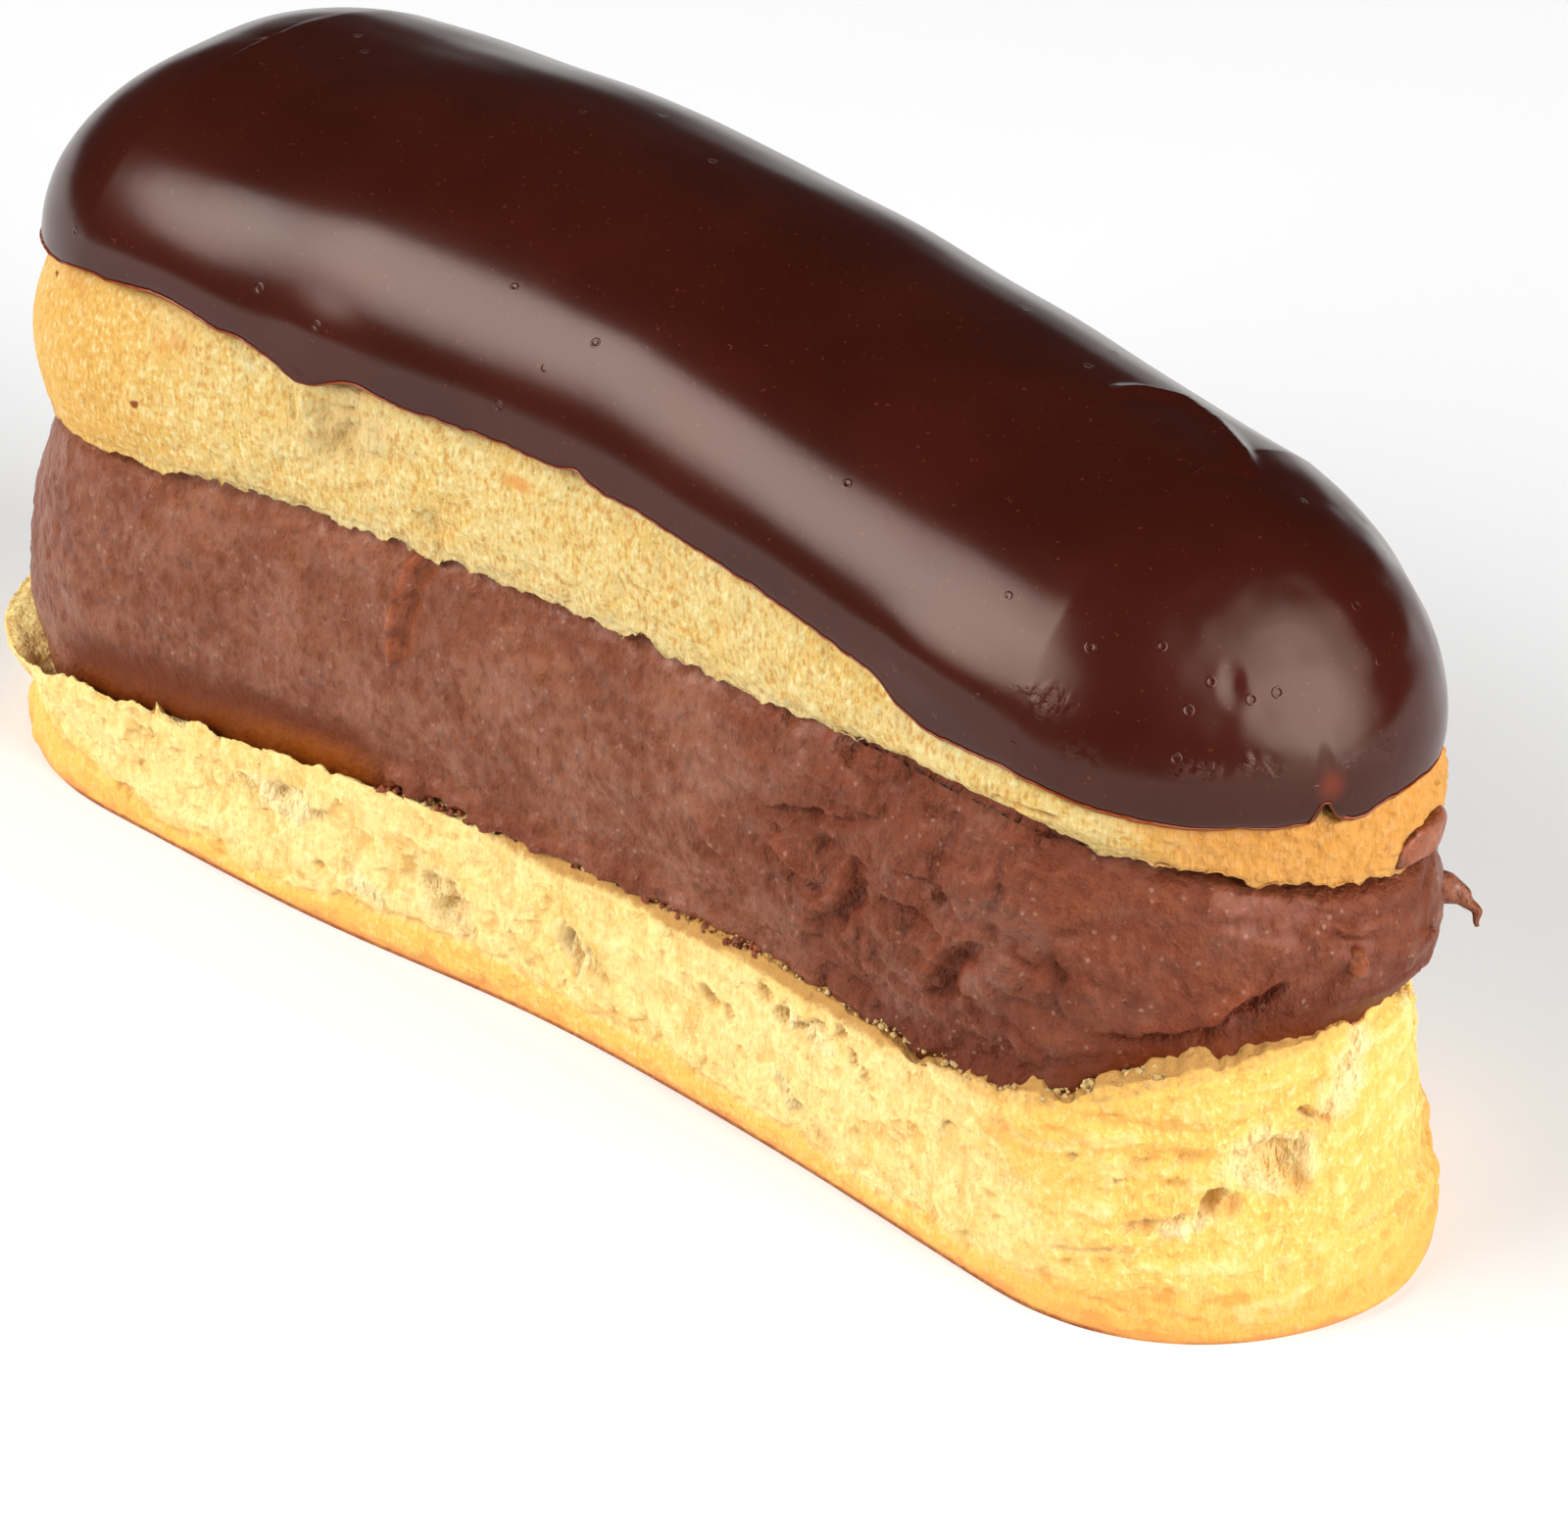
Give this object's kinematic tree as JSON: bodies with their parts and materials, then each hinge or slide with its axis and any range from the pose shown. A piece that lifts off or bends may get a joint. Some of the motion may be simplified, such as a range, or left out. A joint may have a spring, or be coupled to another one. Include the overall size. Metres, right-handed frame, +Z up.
{
  "type": "chocolate eclair",
  "caption": "Choux bun split lengthways, filled with a tall layer of piped chocolate cream and topped with glossy dark chocolate icing.",
  "frame": {"origin": "middle of the footprint, on the level surface that the eclair stands on", "axes": "+X along the eclair from its low end to its tall end, -Y towards its shown long side, +Z up through the icing"},
  "size_m": [0.1381, 0.0477, 0.064],
  "materials": {
    "baked_choux": "matte golden choux crumb, browned at the bottom edge",
    "chocolate_cream": "satin set chocolate cream with a fine rough surface",
    "chocolate_icing": "glossy set dark chocolate icing"
  },
  "bodies": {
    "root": {"choux_base": "baked_choux", "chocolate_cream": "chocolate_cream", "choux_cap": "baked_choux", "chocolate_icing": "chocolate_icing"}
  },
  "joints": []
}
